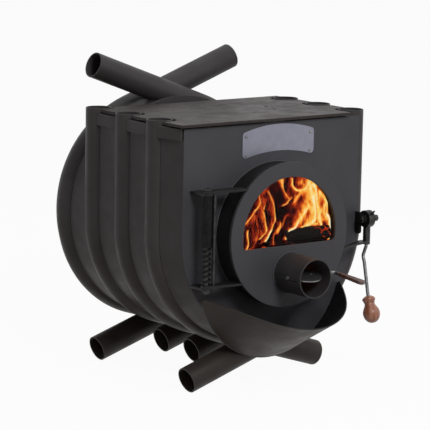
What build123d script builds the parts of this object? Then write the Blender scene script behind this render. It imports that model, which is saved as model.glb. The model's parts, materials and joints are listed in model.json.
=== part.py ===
"""Workshop stove: two sets of bent steel tubes, welded side by side, form the walls of the firebox.

Millimetres. The origin is on the floor under the middle of the stove, X to the right as seen from
the front, Y to the back and Z up. The door faces -Y.
"""
from build123d import *
import math
import os

os.makedirs("parts", exist_ok=True)

# Fits
touch = 0.02
run_fit = 0.05
axial_fit = 0.4
soft_clear = 0.3

# Body tubes: rows of one side alternate with rows of the other, each tube against the next
tube_d = 60.3
tube_wall = 3.2
tube_r = tube_d / 2
row_gap = 0.9
row_pitch = tube_d + row_gap
first_row_y = -145.0
last_row_y = first_row_y + 7 * row_pitch
bend_r = 250.5
pan_top = 248.0
wall_rise = 11.6
wall_top = pan_top + wall_rise
foot_angle = 17.8
foot_long = 300.0
foot_short = 194.0
outlet_angle = 20.3
outlet_right = 334.0
outlet_left = 324.0
foot_lean = math.radians(foot_angle)
bend_z = (bend_r + tube_r) * math.cos(foot_lean) + foot_long * math.sin(foot_lean)

# Sheet strips between the tubes
sheet = 3.0
strip_stand = 15.5
strip_out = bend_r + strip_stand
strip_in = strip_out - sheet

# Front plate and rear shell
plate_t = 3.0
front_back_y = first_row_y - tube_r
front_y = front_back_y - plate_t
front_top = pan_top
rear_y = last_row_y + tube_r
rear_t = 4.0
bulkhead_back_y = last_row_y - row_pitch - tube_r
bulkhead_t = 4.0
bulkhead_over = 4.0
bulkhead_r = strip_out + bulkhead_over
bulkhead_ring = 45.0

# Flue collar, which takes a standard stove pipe
flue_pipe_d = 120.0
flue_fit = 0.3
flue_wall = 3.0
flue_in = flue_pipe_d / 2 + flue_fit
flue_out = flue_in + flue_wall
flue_z = 110.0
flue_length = 62.0

# Ash lip under the door
lip_inset = 48.5
lip_r = bend_r - lip_inset
lip_centre_z = -89.4
lip_half_angle = 75.0
lip_reach = 177.0
lip_rise = 74.0
lip_draw_in = 24.0
lip_side_fade = 0.93
lip_ease = 6
lip_t = 3.0

# Top: inner pan, then a gap of air, then the cook plate with its lid
pan_t = 3.0
pan_low = pan_top - pan_t
pan_flange_t = 4.0
pan_flange_h = 26.0
pan_margin = 2.0
pan_half = strip_out + pan_flange_t + pan_margin
pan_clear = 0.4
slot_h = 4.0
spacer_x = 150.0
spacer_in = 20.0
spacer_apart = 250.0
spacer_front_y = first_row_y + spacer_in
spacer_back_y = spacer_front_y + spacer_apart
spacer_long = 40.0
spacer_wide = 12.0
cook_t = 6.5
cook_bottom = pan_top + slot_h
cook_top = cook_bottom + cook_t
cook_over = 13.5
cook_ahead = 45.0
cook_short = 8.0
cook_half = bend_r + cook_over
cook_front_y = first_row_y - cook_ahead
cook_back_y = first_row_y + 5 * row_pitch - cook_short
cook_chamfer = 0.8
notch_clear = 7.0
front_cut_in = 49.0
front_cut_deep = 30.0
back_cut_in = 39.0
back_cut_deep = 15.0
lid_x = 30.0
lid_back = 139.0
lid_y = first_row_y + lid_back
lid_r = 82.0
lid_t = 3.5
lid_clear = 0.6
lid_ledge = 9.0
lid_chamfer = 0.6
lid_notch_deep = 8.0
lid_notch_wide = 9.0

# Nameplate and its rivets
plate_x = 12.0
plate_half = 102.0
plate_low = 168.0
plate_shoulder = 228.0
plate_peak = 244.0
plate_bow = 15.0
plate_thin = 1.5
plate_corner = 9.0
rivet_r = 3.5
rivet_head = 1.8
rivet_round = 1.4
rivet_in = 10.0
rivet_under = 8.0
rivet_over = 9.0

# Door, its collar and seal
door_r = 166.0
door_stand = 99.6
door_y = first_row_y - door_stand
door_t = 5.0
door_back_y = door_y + door_t
door_chamfer = 1.0
rim_depth = 3.0
rim_w = 5.6
collar_in = 7.0
collar_r = door_r - collar_in
collar_wall = 4.0
opening_in = 9.0
opening_r = collar_r - opening_in
rope_inside = 0.5
rope_outside = 0.6
rope_r_in = opening_r + rope_inside
rope_r_out = collar_r + rope_outside
rope_t = 3.5
collar_front_y = door_back_y + rope_t + soft_clear

# Window, with its glass clamped from inside
window_in = 18.0
window_r = opening_r - window_in
window_sill = -23.7
window_corner = 8.0
window_lap = 9.0
seal_inset = 1.0
glass_seal_t = 2.0
glass_t = 4.0
frame_inset = 2.0
frame_t = 2.0
frame_play = 0.5
frame_r = opening_r - frame_play
seal_back_y = door_back_y + glass_seal_t
glass_back_y = seal_back_y + glass_t
frame_back_y = glass_back_y + frame_t
frame_screw_r = 2.5
frame_screw_angles = (4, 45, 90, 135, 176)
frame_screw_in = 3.8
frame_boss_t = 1.7
frame_head_over = 2.0
frame_screw_circle = frame_r - frame_screw_in
frame_boss_r = frame_screw_r + frame_boss_t
frame_head_r = frame_screw_r + frame_head_over
frame_head_t = 2.5

# Air pipe in the door with its butterfly
pipe_d = 90.0
pipe_wall = 3.2
pipe_z = -85.0
pipe_length = 95.0
butterfly_ahead = 52.4
butterfly_y = door_y - butterfly_ahead
butterfly_z = bend_z + pipe_z
butterfly_play = 1.2
butterfly_r = pipe_d / 2 - pipe_wall - butterfly_play
butterfly_t = 2.5
butterfly_tilt = 10.0
shaft_r = 4.0
shaft_stub = 4.0
flat_margin = 0.5
plate_screw_x = 20.0
plate_screw_r = 3.5
plate_screw_t = 2.0
crank_out = 43.0
crank_bend = 10.0
crank_aside = 3.0
crank_ahead = 26.0
crank_down = 3.5
lever_aside = 20.0
lever_ahead = 81.0
lever_down = 14.0
crank_x = pipe_d / 2 + crank_out
crank_end = Vector(crank_x + crank_aside, butterfly_y - crank_ahead, butterfly_z - crank_down)
lever_end = Vector(crank_x + lever_aside, butterfly_y - lever_ahead, butterfly_z - lever_down)
lever_t = 7.0
lever_back = 8.0
lever_narrow = 5.5
lever_wide = 11.0
lever_round = 8.0
lever_heel = 3.0

# Hinge on the left
hinge_x = -(bend_r - 34.5)
hinge_y = door_y + 21.6
pin_r = 5.0
pin_tail = 9.0
pin_head_r = 9.0
pin_head_t = 5.0
nut_r = 9.0
nut_t = 7.0
knuckle_r = 13.0
arm_t = 5.0
arm_high = 110.0
arm_low = -97.0
arm_narrow_x = hinge_x + 60.0
arm_elbow_x = hinge_x + 84.0
arm_elbow_y = hinge_y + 8.0
arm_end_x = hinge_x + 126.0
bracket_t = 5.0
bracket_foot = 3.0
bracket_high = arm_high - axial_fit - bracket_t
bracket_low = arm_low - arm_t - axial_fit - bracket_t
pin_top = arm_high + arm_t + axial_fit
rod_r = 4.5
rod_x = hinge_x + 18.0
rod_ahead = 1.0
rod_y = hinge_y - rod_ahead
sleeve_r = 10.5
sleeve_low = -12.0
spring_wire = 4.6
spring_pitch = 12.0
spring_clear = 0.15

# Latch on the right
latch_x = bend_r + 8.5
latch_y = front_y - 27.85
latch_z = 8.0
latch_bolt_r = 4.0
ear_inside = 14.0
ear_x = latch_x - ear_inside
ear_t = 5.0
ear_nose_r = 10.0
ear_deep = 19.0
ear_mid_z = -3.0
ear_tall = 52.0
ear_round = 8.0
bolt_head_out = 20.0
bolt_head_x = latch_x + bolt_head_out
bolt_head_r = 8.0
bolt_head_t = 9.0
hub_r = 20.0
hub_x = ear_x + ear_t + axial_fit
hub_t = 2 * (latch_x - hub_x)
barrel_r = 8.5
barrel_low = -52.0
barrel_top = latch_z - 10.0
peg_r = 2.2
peg_lean = 50.0
peg_bite = 4.0
peg_tip = 33.0

# Catch arm of the door, which ends beside the latch's barrel
catch_z = -47.0
catch_t = 5.0
catch_root_x = door_r - 16.0
catch_front_x = door_r + 6.0
catch_back_x = door_r + 2.0
catch_end_x = latch_x - 9.5
catch_hook_x = catch_end_x - 13.5
catch_end_front = latch_y - 14.0
catch_end_back = latch_y + 6.0
catch_hook_y = latch_y + 4.0
catch_bite = 1.0

# Handle: round rod with a swan neck, ferrule and wooden grip
handle_r = 4.0
handle_bend = 9.0
handle_top = barrel_low + 20.0
neck_z = -56.0
neck_back = 10.5
neck_back_z = -81.0
neck_front = 4.5
neck_front_z = -98.0
grip_y = latch_y - 12.0
grip_z = -174.0
grip_lean = 19.885
handle_end = 36.0
ferrule_t = 3.0
ferrule_high_r = handle_r + ferrule_t
ferrule_mid = 7.5
ferrule_r = 15.5
ferrule_low = 15.0
ferrule_low_r = 12.6
grip_neck_r = 12.0
grip_waist = 4.0
grip_waist_r = 11.7
grip_swell = 15.0
grip_swell_r = 16.6
grip_belly = 29.0
grip_belly_r = 20.4
grip_length = 49.5

# Room round the door's edge that a cut takes out of what is joined to it
cut_ahead = 20.0
cut_depth = 80.0


def upright(y):
    """Plane facing the front at depth y, its local axes along X and Z, level with the bend centre."""
    return Plane(origin=(0, y, bend_z), x_dir=(1, 0, 0), z_dir=(0, -1, 0))


def level(z):
    """Level plane at a height z over the bend centre."""
    return Plane.XY.offset(bend_z + z)


def row_y(side, number):
    """Depth of a tube's row: the right side has the even places, the left side the odd ones."""
    place = 2 * (number - 1) + (0 if side > 0 else 1)
    return first_row_y + place * row_pitch


# Walls of bent tube. Each runs down its own side, under the firebox and out to the opposite foot.
def leave_bend(side, angle, length):
    """Ends of the straight run that leaves the bend with this lean, towards the opposite side."""
    lean_x = math.cos(math.radians(angle))
    lean_z = math.sin(math.radians(angle))
    near = (side * bend_r * lean_z, bend_r * lean_x)
    far = (near[0] - side * length * lean_x, near[1] + length * lean_z)
    return near, far


def bent_tube(side, number):
    outlet = number == 4
    foot = foot_long if number in (1, 4) else foot_short
    turn = 90 - foot_angle
    start = 0 if side > 0 else 180
    near, far = leave_bend(side, foot_angle, foot)
    with BuildPart() as tube:
        with BuildLine(upright(row_y(side, number))) as path:
            if outlet:
                rise = 90 - outlet_angle
                high, out = leave_bend(side, outlet_angle, outlet_right if side > 0 else outlet_left)
                Line(out, high)
                CenterArc((0, 0), bend_r, start + side * rise, -side * (rise + turn))
            else:
                Line((side * bend_r, wall_top), (side * bend_r, 0))
                CenterArc((0, 0), bend_r, start, side * -turn)
            Line((near[0], -near[1]), (far[0], -far[1]))
        with BuildSketch(Plane(origin=path.line @ 0, z_dir=path.line % 0)):
            Circle(tube_r)
            Circle(tube_r - tube_wall, mode=Mode.SUBTRACT)
        sweep()
    return tube


tubes = {}
for number in (1, 2, 3, 4):
    tube_right = bent_tube(1, number)
    tubes[1, number] = tube_right.part
    tube_right.part.label = f"tube_right_{number}"
    export_step(tube_right.part, f"parts/tube_right_{number}.step")
    tube_left = bent_tube(-1, number)
    tubes[-1, number] = tube_left.part
    tube_left.part.label = f"tube_left_{number}"
    export_step(tube_left.part, f"parts/tube_left_{number}.step")


# Sheet strips that close the walls between neighbouring tubes of one side
def chord_depth(offset):
    """Half the depth of a tube at a distance from its axis, where a strip's edge meets it."""
    return math.sqrt(tube_r ** 2 - offset ** 2) + touch


def end_angle(radius, lean):
    """How far round a strip goes until it meets the tube that leaves the bend at this lean."""
    return lean + math.degrees(math.asin((bend_r - tube_r - touch) / radius))


def band_shape(side, inner, outer, high, low_angle):
    """Cross-section of a wall band: straight down from its top, then round under the firebox."""
    start = 0 if side > 0 else 180
    with BuildSketch() as shape:
        with BuildLine():
            outer_arc = CenterArc((0, 0), outer, start, -side * low_angle)
            inner_arc = CenterArc((0, 0), inner, start, -side * low_angle)
            Line(outer_arc @ 1, inner_arc @ 1)
            Polyline(outer_arc @ 0, (side * outer, high), (side * inner, high), inner_arc @ 0)
        make_face()
    return shape.sketch


strip_edge = chord_depth(strip_in - bend_r)
strip_end = end_angle(strip_out, foot_angle)

for side, number in ((1, 1), (1, 2), (1, 3), (-1, 1), (-1, 2)):
    near_y = row_y(side, number) + strip_edge
    far_y = row_y(side, number + 1) - strip_edge
    with BuildPart() as side_strip:
        with BuildSketch(upright(near_y)):
            add(band_shape(side, strip_in, strip_out, pan_low, strip_end))
        extrude(amount=near_y - far_y)
    side_name = "right" if side > 0 else "left"
    side_strip.part.label = f"side_strip_{side_name}_{number}"
    export_step(side_strip.part, f"parts/side_strip_{side_name}_{number}.step")

# First strip on the left, slanting out from the front plate's edge to the first left tube
with BuildPart() as side_strip_left_front:
    with BuildSketch(upright(front_back_y)):
        add(band_shape(-1, bend_r - sheet, bend_r, pan_low, strip_end))
    with BuildSketch(upright(row_y(-1, 1) - strip_edge)):
        add(band_shape(-1, strip_in, strip_out, pan_low, strip_end))
    loft(ruled=True)
side_strip_left_front.part.label = "side_strip_left_front"
export_step(side_strip_left_front.part, "parts/side_strip_left_front.step")


# Bulkhead between the square-topped firebox and the round drum, notched round the third left tube
with BuildPart() as bulkhead:
    with BuildSketch(upright(bulkhead_back_y)):
        Circle(bulkhead_r)
        with Locations((0, pan_top - 2 * bend_r)):
            Rectangle(4 * bend_r, 4 * bend_r, mode=Mode.SUBTRACT)
        with Locations((0, pan_top / 2)):
            Rectangle(2 * (strip_in - touch), pan_top)
        Circle(bulkhead_r - bulkhead_ring, mode=Mode.SUBTRACT)
    extrude(amount=bulkhead_t)
    add(tubes[-1, 3], mode=Mode.SUBTRACT)
bulkhead.part.label = "bulkhead"
export_step(bulkhead.part, "parts/bulkhead.step")

# Rear drum: each shell goes round its side from the tube under it to the outlet tube over it
def drum_shape(side):
    low = end_angle(strip_out, foot_angle)
    start = -low if side > 0 else 180 + low
    size = low + end_angle(strip_out, outlet_angle)
    with BuildSketch() as shape:
        with BuildLine():
            outer_arc = CenterArc((0, 0), strip_out, start, side * size)
            inner_arc = CenterArc((0, 0), strip_in, start, side * size)
            Line(outer_arc @ 0, inner_arc @ 0)
            Line(outer_arc @ 1, inner_arc @ 1)
        make_face()
    return shape.sketch


drum_left_near = row_y(-1, 3) + strip_edge
drum_left_far = row_y(-1, 4) - strip_edge
with BuildPart() as drum_shell_left:
    with BuildSketch(upright(drum_left_near)):
        add(drum_shape(-1))
    extrude(amount=drum_left_near - drum_left_far)
    add([bulkhead.part, tubes[-1, 3], tubes[-1, 4]], mode=Mode.SUBTRACT)
drum_shell_left.part.label = "drum_shell_left"
export_step(drum_shell_left.part, "parts/drum_shell_left.step")

drum_right_near = row_y(1, 4) + strip_edge
with BuildPart() as drum_shell_right:
    with BuildSketch(upright(drum_right_near)):
        add(drum_shape(1))
    extrude(amount=drum_right_near - rear_y)
    add(tubes[1, 4], mode=Mode.SUBTRACT)
drum_shell_right.part.label = "drum_shell_right"
export_step(drum_shell_right.part, "parts/drum_shell_right.step")

# Back plate with the hole for the flue
with BuildPart() as back_plate:
    with BuildSketch(upright(rear_y)):
        Circle(strip_out)
        with Locations((0, flue_z)):
            Circle(flue_out + touch, mode=Mode.SUBTRACT)
    extrude(amount=-rear_t)
back_plate.part.label = "back_plate"
export_step(back_plate.part, "parts/back_plate.step")

# Flue collar, let through the back plate
with BuildPart() as flue_collar:
    with BuildSketch(upright(rear_y - rear_t)):
        with Locations((0, flue_z)):
            Circle(flue_out)
            Circle(flue_in, mode=Mode.SUBTRACT)
    extrude(amount=-(2 * rear_t + flue_length))
flue_collar.part.label = "flue_collar"
export_step(flue_collar.part, "parts/flue_collar.step")

# Front plate: straight sides, round bottom, and an apron behind the ash lip
with BuildPart() as front_plate:
    with BuildSketch(upright(front_back_y)):
        Circle(bend_r)
        with Locations((0, front_top / 2)):
            Rectangle(2 * bend_r, front_top)
        with Locations((0, lip_centre_z)):
            Circle(lip_r + lip_t)
        Circle(opening_r, mode=Mode.SUBTRACT)
    extrude(amount=plate_t)
front_plate.part.label = "front_plate"
export_step(front_plate.part, "parts/front_plate.step")


# Ash lip: one sheet that rises forward from its weld round the apron to a free rim
def lip_point(share, depth):
    """Point on the lip's sheet, share from -1 to 1 across and depth from 0 at the weld to 1 at the rim."""
    turn = math.radians(270 + share * lip_half_angle)
    bulge = 1 - lip_side_fade * share ** 2
    radius = lip_r - depth * lip_draw_in * (1 - share ** lip_ease)
    return Vector(radius * math.cos(turn),
                  front_y - depth * lip_reach * bulge,
                  bend_z + lip_centre_z + radius * math.sin(turn) + depth * lip_rise * bulge)


lip_stations = [-1 + i / 8 for i in range(17)]
lip_weld = Edge.make_spline([lip_point(share, 0) for share in lip_stations])
lip_rim = Edge.make_spline([lip_point(share, 1) for share in lip_stations])
lip_face = Face.make_surface_from_curves(lip_weld, lip_rim)
with BuildPart() as ash_lip:
    thicken(lip_face, amount=lip_t)
ash_lip.part.label = "ash_lip"
export_step(ash_lip.part, "parts/ash_lip.step")

# Inner top pan, cut round the tubes, its flanges turned down outside the strips
pan_back_y = bulkhead_back_y - bulkhead_t


def pan_shape(inset):
    """Plan of the pan, its sides drawn in by inset; a tube stands in two of its corners."""
    half = pan_half - inset
    front_left = bend_r + pan_half - strip_out - inset
    with BuildSketch() as shape:
        with BuildLine():
            Polyline((-front_left, front_back_y), (bend_r, front_back_y), (bend_r, first_row_y),
                     (half, first_row_y), (half, pan_back_y), (-bend_r, pan_back_y),
                     (-bend_r, row_y(-1, 3)), (-half, row_y(-1, 3)), (-half, row_y(-1, 1) - strip_edge),
                     (-front_left, front_back_y))
        make_face()
    return shape.sketch


with BuildPart() as top_pan:
    with BuildSketch(level(pan_top)):
        add(pan_shape(0))
    extrude(amount=-pan_flange_h)
    with BuildSketch(level(pan_low)):
        add(pan_shape(pan_flange_t))
    extrude(amount=-pan_flange_h, mode=Mode.SUBTRACT)
    with BuildSketch(level(pan_top)):
        with Locations(*[(side * bend_r, row_y(side, n)) for side in (1, -1) for n in (1, 2, 3)]):
            Circle(tube_r + pan_clear)
        with Locations((lid_x, lid_y)):
            Circle(lid_r - lid_ledge)
    extrude(amount=-pan_flange_h, mode=Mode.SUBTRACT)
top_pan.part.label = "top_pan"
export_step(top_pan.part, "parts/top_pan.step")

# Spacers that hold the cook plate off the pan
with BuildPart() as plate_spacers:
    with BuildSketch(level(pan_top)):
        with Locations(*[(x, y) for x in (-spacer_x, spacer_x) for y in (spacer_front_y, spacer_back_y)]):
            Rectangle(spacer_long, spacer_wide)
    extrude(amount=slot_h)
plate_spacers.part.label = "plate_spacers"
export_step(plate_spacers.part, "parts/plate_spacers.step")

# Cook plate, notched round the tubes, with a rebate for its lid
cook_mid_y = (cook_front_y + cook_back_y) / 2
with BuildPart() as cook_plate:
    with BuildSketch(level(cook_bottom)):
        with Locations((0, cook_mid_y)):
            Rectangle(2 * cook_half, cook_back_y - cook_front_y)
        with Locations(*[(side * bend_r, row_y(side, n)) for side in (1, -1) for n in (1, 2, 3)]):
            Circle(tube_r + notch_clear, mode=Mode.SUBTRACT)
        with Locations((cook_half, cook_front_y)):
            Rectangle(2 * front_cut_in, 2 * front_cut_deep, mode=Mode.SUBTRACT)
        with Locations((-cook_half, cook_back_y)):
            Rectangle(2 * back_cut_in, 2 * back_cut_deep, mode=Mode.SUBTRACT)
        with Locations((lid_x, lid_y)):
            Circle(lid_r - lid_ledge, mode=Mode.SUBTRACT)
    extrude(amount=cook_t)
    with BuildSketch(level(cook_top)):
        with Locations((lid_x, lid_y)):
            Circle(lid_r + lid_clear)
    extrude(amount=-lid_t, mode=Mode.SUBTRACT)
    top_edges = cook_plate.faces().sort_by(Axis.Z)[-1].outer_wire().edges()
    chamfer(top_edges, length=cook_chamfer)
cook_plate.part.label = "cook_plate"
export_step(cook_plate.part, "parts/cook_plate.step")

# Loose lid of the cook plate with its lifting notch
with BuildPart() as cook_lid:
    with BuildSketch(level(cook_top)):
        with Locations((lid_x, lid_y)):
            Circle(lid_r)
        with Locations((lid_x + lid_r, lid_y)):
            Rectangle(2 * lid_notch_deep, lid_notch_wide, mode=Mode.SUBTRACT)
    extrude(amount=-lid_t)
    chamfer(cook_lid.faces().sort_by(Axis.Z)[-1].edges(), length=lid_chamfer)
cook_lid.part.label = "cook_lid"
export_step(cook_lid.part, "parts/cook_lid.step")

# Bare nameplate over the door, arched above and below, on four rivets
with BuildPart() as nameplate:
    with BuildSketch(upright(front_y)) as plate_sketch:
        with BuildLine():
            Line((plate_x - plate_half, plate_shoulder), (plate_x - plate_half, plate_low))
            ThreePointArc((plate_x - plate_half, plate_low), (plate_x, plate_low + plate_bow),
                          (plate_x + plate_half, plate_low))
            Line((plate_x + plate_half, plate_low), (plate_x + plate_half, plate_shoulder))
            ThreePointArc((plate_x - plate_half, plate_shoulder), (plate_x, plate_peak),
                          (plate_x + plate_half, plate_shoulder))
        make_face()
        fillet(plate_sketch.vertices(), radius=plate_corner)
    extrude(amount=plate_thin)
nameplate.part.label = "nameplate"
export_step(nameplate.part, "parts/nameplate.step")

rivet_places = [(plate_x + side * (plate_half - rivet_in), z)
                for side in (-1, 1) for z in (plate_shoulder - rivet_under, plate_low + rivet_over)]
with BuildPart() as nameplate_rivets:
    with BuildSketch(upright(front_y - plate_thin)):
        with Locations(*rivet_places):
            Circle(rivet_r)
    extrude(amount=rivet_head)
    fillet(nameplate_rivets.faces().sort_by(Axis.Y)[0:4].edges(), radius=rivet_round)
nameplate_rivets.part.label = "nameplate_rivets"
export_step(nameplate_rivets.part, "parts/nameplate_rivets.step")

# Collar round the door opening
with BuildPart() as door_collar:
    with BuildSketch(upright(front_y)):
        Circle(collar_r)
        Circle(collar_r - collar_wall, mode=Mode.SUBTRACT)
    extrude(amount=front_y - collar_front_y)
door_collar.part.label = "door_collar"
export_step(door_collar.part, "parts/door_collar.step")


def window_shape(grow):
    """Window outline: a round top over a level sill, made larger all round by grow."""
    with BuildSketch(mode=Mode.PRIVATE) as shape:
        Circle(window_r + grow)
        with Locations((0, window_sill - grow - door_r)):
            Rectangle(4 * door_r, 2 * door_r, mode=Mode.SUBTRACT)
        fillet(shape.vertices(), radius=window_corner)
    return shape.sketch


# Door plate with its window and the air hole
with BuildPart() as door_disc:
    with BuildSketch(upright(door_back_y)):
        Circle(door_r)
        add(window_shape(0), mode=Mode.SUBTRACT)
        with Locations((0, pipe_z)):
            Circle(pipe_d / 2 - pipe_wall, mode=Mode.SUBTRACT)
    extrude(amount=door_t)
    chamfer(door_disc.faces().sort_by(Axis.Y)[0].outer_wire().edges(), length=door_chamfer)
door_disc.part.label = "door_disc"
export_step(door_disc.part, "parts/door_disc.step")

# Rim behind the door's edge, round the rope seal
with BuildPart() as door_rim:
    with BuildSketch(upright(door_back_y)):
        Circle(door_r)
        Circle(door_r - rim_w, mode=Mode.SUBTRACT)
    extrude(amount=-rim_depth)
door_rim.part.label = "door_rim"
export_step(door_rim.part, "parts/door_rim.step")

# Rope seal that the collar's edge presses on
with BuildPart() as door_rope:
    with BuildSketch(upright(door_back_y)):
        Circle(rope_r_out)
        Circle(rope_r_in, mode=Mode.SUBTRACT)
    extrude(amount=-rope_t)
door_rope.part.label = "door_rope"
export_step(door_rope.part, "parts/door_rope.step")

# Window: soft seal, glass, and a clamping frame with screws from inside
with BuildPart() as glass_seal:
    with BuildSketch(upright(door_back_y)):
        add(window_shape(window_lap))
        add(window_shape(seal_inset), mode=Mode.SUBTRACT)
    extrude(amount=-glass_seal_t)
glass_seal.part.label = "glass_seal"
export_step(glass_seal.part, "parts/glass_seal.step")

with BuildPart() as window_glass:
    with BuildSketch(upright(seal_back_y)):
        add(window_shape(window_lap))
    extrude(amount=-glass_t)
window_glass.part.label = "window_glass"
export_step(window_glass.part, "parts/window_glass.step")

frame_screw_places = [(frame_screw_circle * math.cos(math.radians(angle)),
                       frame_screw_circle * math.sin(math.radians(angle))) for angle in frame_screw_angles]
with BuildPart() as glass_frame:
    with BuildSketch(upright(glass_back_y)):
        add(window_shape(frame_r - window_r))
        add(window_shape(frame_inset), mode=Mode.SUBTRACT)
        with Locations(*frame_screw_places):
            Circle(frame_screw_r + touch, mode=Mode.SUBTRACT)
    extrude(amount=-frame_t)
    with BuildSketch(upright(door_back_y)):
        with Locations(*frame_screw_places):
            Circle(frame_boss_r)
            Circle(frame_screw_r + touch, mode=Mode.SUBTRACT)
    extrude(amount=-(glass_seal_t + glass_t))
glass_frame.part.label = "glass_frame"
export_step(glass_frame.part, "parts/glass_frame.step")

with BuildPart() as frame_screws:
    with BuildSketch(upright(door_back_y)):
        with Locations(*frame_screw_places):
            Circle(frame_screw_r)
    extrude(amount=-(glass_seal_t + glass_t + frame_t))
    with BuildSketch(upright(frame_back_y)):
        with Locations(*frame_screw_places):
            Circle(frame_head_r)
    extrude(amount=-frame_head_t)
frame_screws.part.label = "frame_screws"
export_step(frame_screws.part, "parts/frame_screws.step")

# Air pipe on the door's front, bored across for the butterfly's shaft
pipe_front_y = door_y - pipe_length
with BuildPart() as air_pipe:
    with BuildSketch(upright(door_y)):
        with Locations((0, pipe_z)):
            Circle(pipe_d / 2)
            Circle(pipe_d / 2 - pipe_wall, mode=Mode.SUBTRACT)
    extrude(amount=pipe_length)
    with Locations(Location((0, butterfly_y, butterfly_z), (0, 90, 0))):
        Hole(shaft_r + run_fit, depth=pipe_d)
air_pipe.part.label = "air_pipe"
export_step(air_pipe.part, "parts/air_pipe.step")

# Butterfly: shaft with a cranked end, round plate screwed to its flat, and a flat wooden lever
flat_plane = Plane(origin=(0, butterfly_y, butterfly_z)).rotated((butterfly_tilt, 0, 0))
with BuildPart() as butterfly_shaft:
    with BuildLine() as shaft_path:
        FilletPolyline((-pipe_d / 2 - shaft_stub, butterfly_y, butterfly_z),
                       (crank_x, butterfly_y, butterfly_z), crank_end, radius=crank_bend)
    with BuildSketch(Plane(origin=shaft_path.line @ 0, z_dir=shaft_path.line % 0)):
        Circle(shaft_r)
    sweep()
    with BuildSketch(flat_plane):
        Rectangle(2 * (butterfly_r + flat_margin), 2 * (shaft_r + flat_margin))
    extrude(amount=shaft_r, mode=Mode.SUBTRACT)
butterfly_shaft.part.label = "butterfly_shaft"
export_step(butterfly_shaft.part, "parts/butterfly_shaft.step")

with BuildPart() as butterfly_plate:
    with BuildSketch(flat_plane):
        Circle(butterfly_r)
    extrude(amount=butterfly_t)
butterfly_plate.part.label = "butterfly_plate"
export_step(butterfly_plate.part, "parts/butterfly_plate.step")

with BuildPart() as butterfly_screws:
    with BuildSketch(flat_plane.offset(butterfly_t)):
        with Locations((-plate_screw_x, 0), (plate_screw_x, 0)):
            Circle(plate_screw_r)
    extrude(amount=plate_screw_t)
butterfly_screws.part.label = "butterfly_screws"
export_step(butterfly_screws.part, "parts/butterfly_screws.step")

# Flat wooden lever that widens forward from the crank's end
lever_dir = (lever_end - crank_end).normalized()
lever_length = (lever_end - crank_end).length
lever_side = Vector(0, 0, 1).cross(lever_dir)
lever_plane = Plane(origin=crank_end, x_dir=lever_dir, z_dir=lever_dir.cross(lever_side))
with BuildPart() as butterfly_lever:
    with BuildSketch(lever_plane.offset(-lever_t / 2)) as lever_sketch:
        with BuildLine():
            Polyline((-lever_back, -lever_narrow), (lever_length, -lever_wide),
                     (lever_length, lever_wide), (-lever_back, lever_narrow), (-lever_back, -lever_narrow))
        make_face()
        fillet(lever_sketch.vertices().group_by(Axis.X)[-1], radius=lever_round)
        fillet(lever_sketch.vertices().group_by(Axis.X)[0], radius=lever_heel)
    extrude(amount=lever_t)
    add(butterfly_shaft.part, mode=Mode.SUBTRACT)
butterfly_lever.part.label = "butterfly_lever"
export_step(butterfly_lever.part, "parts/butterfly_lever.step")


# Hinge: two arms on the door, two brackets on the front plate, one long pin through all four
def hinge_arm(low):
    with BuildPart() as arm:
        with BuildSketch(level(low)):
            with Locations((hinge_x, hinge_y)):
                Circle(knuckle_r)
            with BuildLine():
                Polyline((hinge_x, hinge_y + knuckle_r), (hinge_x, hinge_y - knuckle_r),
                         (arm_narrow_x, door_y), (arm_end_x, door_y), (arm_end_x, door_back_y + rim_depth),
                         (arm_elbow_x, arm_elbow_y), (arm_narrow_x, hinge_y + knuckle_r),
                         (hinge_x, hinge_y + knuckle_r))
            make_face()
            with Locations((hinge_x, hinge_y)):
                Circle(pin_r + run_fit, mode=Mode.SUBTRACT)
        extrude(amount=arm_t)
        with BuildSketch(upright(door_y - cut_ahead)):
            Circle(door_r + touch)
        extrude(amount=-cut_depth, mode=Mode.SUBTRACT)
    return arm


hinge_arm_upper = hinge_arm(arm_high)
hinge_arm_upper.part.label = "hinge_arm_upper"
export_step(hinge_arm_upper.part, "parts/hinge_arm_upper.step")
hinge_arm_lower = hinge_arm(arm_low - arm_t)
hinge_arm_lower.part.label = "hinge_arm_lower"
export_step(hinge_arm_lower.part, "parts/hinge_arm_lower.step")


def hinge_bracket(low):
    with BuildPart() as bracket:
        with BuildSketch(level(low)):
            with Locations((hinge_x, hinge_y)):
                Circle(knuckle_r)
            with BuildLine():
                Polyline((hinge_x - knuckle_r - bracket_foot, front_y), (hinge_x - knuckle_r, hinge_y),
                         (hinge_x + knuckle_r, hinge_y), (hinge_x + knuckle_r + bracket_foot, front_y),
                         (hinge_x - knuckle_r - bracket_foot, front_y))
            make_face()
            with Locations((hinge_x, hinge_y)):
                Circle(pin_r + touch, mode=Mode.SUBTRACT)
        extrude(amount=bracket_t)
    return bracket


hinge_bracket_upper = hinge_bracket(bracket_high)
hinge_bracket_upper.part.label = "hinge_bracket_upper"
export_step(hinge_bracket_upper.part, "parts/hinge_bracket_upper.step")
hinge_bracket_lower = hinge_bracket(bracket_low)
hinge_bracket_lower.part.label = "hinge_bracket_lower"
export_step(hinge_bracket_lower.part, "parts/hinge_bracket_lower.step")

# Pin with a hexagon head, and its nut
with BuildPart() as hinge_pin:
    with BuildSketch(level(bracket_low - pin_tail)):
        with Locations((hinge_x, hinge_y)):
            Circle(pin_r)
    extrude(amount=pin_top - bracket_low + pin_tail)
    with BuildSketch(level(pin_top)):
        with Locations((hinge_x, hinge_y)):
            RegularPolygon(pin_head_r, 6)
    extrude(amount=pin_head_t)
hinge_pin.part.label = "hinge_pin"
export_step(hinge_pin.part, "parts/hinge_pin.step")

with BuildPart() as hinge_nut:
    with BuildSketch(level(bracket_low)):
        with Locations((hinge_x, hinge_y)):
            RegularPolygon(nut_r, 6)
            Circle(pin_r + touch, mode=Mode.SUBTRACT)
    extrude(amount=-nut_t)
hinge_nut.part.label = "hinge_nut"
export_step(hinge_nut.part, "parts/hinge_nut.step")

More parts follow.
